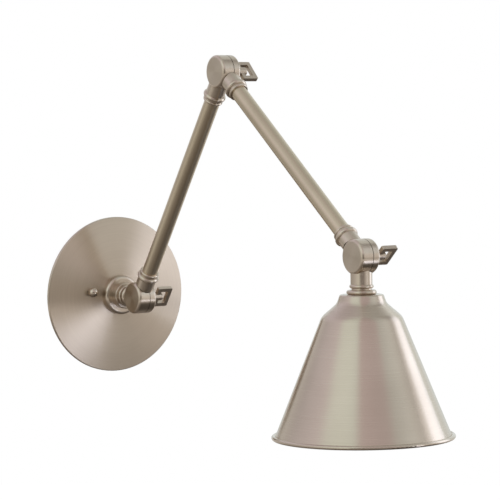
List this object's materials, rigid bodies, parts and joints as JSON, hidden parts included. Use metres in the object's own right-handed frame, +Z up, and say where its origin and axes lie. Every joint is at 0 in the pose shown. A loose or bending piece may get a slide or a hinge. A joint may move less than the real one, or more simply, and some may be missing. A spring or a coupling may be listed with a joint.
{
  "type": "articulating wall lamp",
  "caption": "Swing-arm wall light in satin nickel: round wall plate, jointed tube arms with window keys, and a cone shade over a screw lampholder.",
  "frame": {"origin": "centre of the wall plate's back, in the wall's plane, midway between the crossbar's two slots", "axes": "+Z up; +Y into the wall; +X to the right for someone who faces the wall, which is the side the keys are on; the lamp stands out towards -Y"},
  "size_m": [0.17, 0.5335, 0.3562],
  "materials": {
    "plate_nickel": "satin nickel, brushed in circles",
    "fitting_nickel": "satin nickel, turned",
    "ball_nickel": "satin nickel, polished a little brighter",
    "tube_nickel": "satin nickel, brushed around the tube",
    "shade_nickel": "satin nickel, spun and brushed around the cone",
    "key_nickel": "satin nickel, cast and tumbled",
    "zinc_steel": "bright zinc plate",
    "ground_green": "green dyed zinc",
    "brass": "plain turned brass",
    "holder_metal": "drawn, satin",
    "porcelain": "glazed white",
    "bush_plastic": "plain moulded",
    "fibre": "pressed fibre, dark"
  },
  "bodies": {
    "wall_base": {"back_plate": "plate_nickel", "crossbar": "zinc_steel", "canopy_studs": "zinc_steel", "stud_nuts": "zinc_steel", "ball_nuts": "ball_nickel", "ground_screw": "ground_green", "wall_nipple": "brass", "nipple_nut": "brass", "nipple_washer": "zinc_steel", "nipple_bushing": "bush_plastic", "wall_collar": "fitting_nickel", "swivel_housing": "fitting_nickel", "swivel_stop_pin": "zinc_steel"},
    "swivel_body": {"wall_knuckle": "fitting_nickel", "swivel_retainer": "brass", "swivel_washer": "zinc_steel", "wall_friction_washer": "fibre"},
    "lower_arm": {"lower_arm_foot_knuckle": "fitting_nickel", "lower_arm_start_ring": "fitting_nickel", "lower_arm_tube": "tube_nickel", "lower_arm_end_ring": "fitting_nickel", "lower_arm_head_knuckle": "fitting_nickel", "elbow_friction_washer": "fibre", "wall_key_washer": "fitting_nickel"},
    "upper_arm": {"upper_arm_tail_knuckle": "fitting_nickel", "upper_arm_start_ring": "fitting_nickel", "upper_arm_tube": "tube_nickel", "upper_arm_end_ring": "fitting_nickel", "upper_arm_head_knuckle": "fitting_nickel", "elbow_key_washer": "fitting_nickel", "shade_key_washer": "fitting_nickel"},
    "shade_head": {"shade_knuckle": "fitting_nickel", "shade_friction_washer": "fibre", "check_ring": "fitting_nickel", "shade": "shade_nickel", "socket_nipple": "brass", "shade_lock_nut": "brass", "lampholder_cap": "holder_metal", "lampholder_body": "porcelain", "lampholder_shell": "brass", "lampholder_contact": "brass", "terminal_screws": "brass"},
    "wall_key_body": {"wall_key": "key_nickel"},
    "elbow_key_body": {"elbow_key": "key_nickel"},
    "shade_key_body": {"shade_key": "key_nickel"}
  },
  "joints": [
    {"name": "wall_swivel", "type": "hinge", "parent": "wall_base", "child": "swivel_body", "pos_m": [0, -0.05251, 0], "axis": [0, 1, 0], "range_deg": [-160, 160]},
    {"name": "shoulder", "type": "hinge", "parent": "swivel_body", "child": "lower_arm", "pos_m": [0, -0.05251, 0], "axis": [1, 0, 0], "range_deg": [-34, 76]},
    {"name": "elbow", "type": "hinge", "parent": "lower_arm", "child": "upper_arm", "pos_m": [0, -0.21272, 0.23752], "axis": [1, 0, 0], "range_deg": [-92, 13]},
    {"name": "shade_tilt", "type": "hinge", "parent": "upper_arm", "child": "shade_head", "pos_m": [0, -0.44392, 0.06831], "axis": [1, 0, 0], "range_deg": [-157, 52]},
    {"name": "wall_key_turn", "type": "hinge", "parent": "swivel_body", "child": "wall_key_body", "pos_m": [0, -0.05251, 0], "axis": [1, 0, 0], "range_deg": [0, 180]},
    {"name": "elbow_key_turn", "type": "hinge", "parent": "lower_arm", "child": "elbow_key_body", "pos_m": [0, -0.21272, 0.23752], "axis": [1, 0, 0], "range_deg": [0, 180]},
    {"name": "shade_key_turn", "type": "hinge", "parent": "shade_head", "child": "shade_key_body", "pos_m": [0, -0.44392, 0.06831], "axis": [1, 0, 0], "range_deg": [0, 180]}
  ]
}
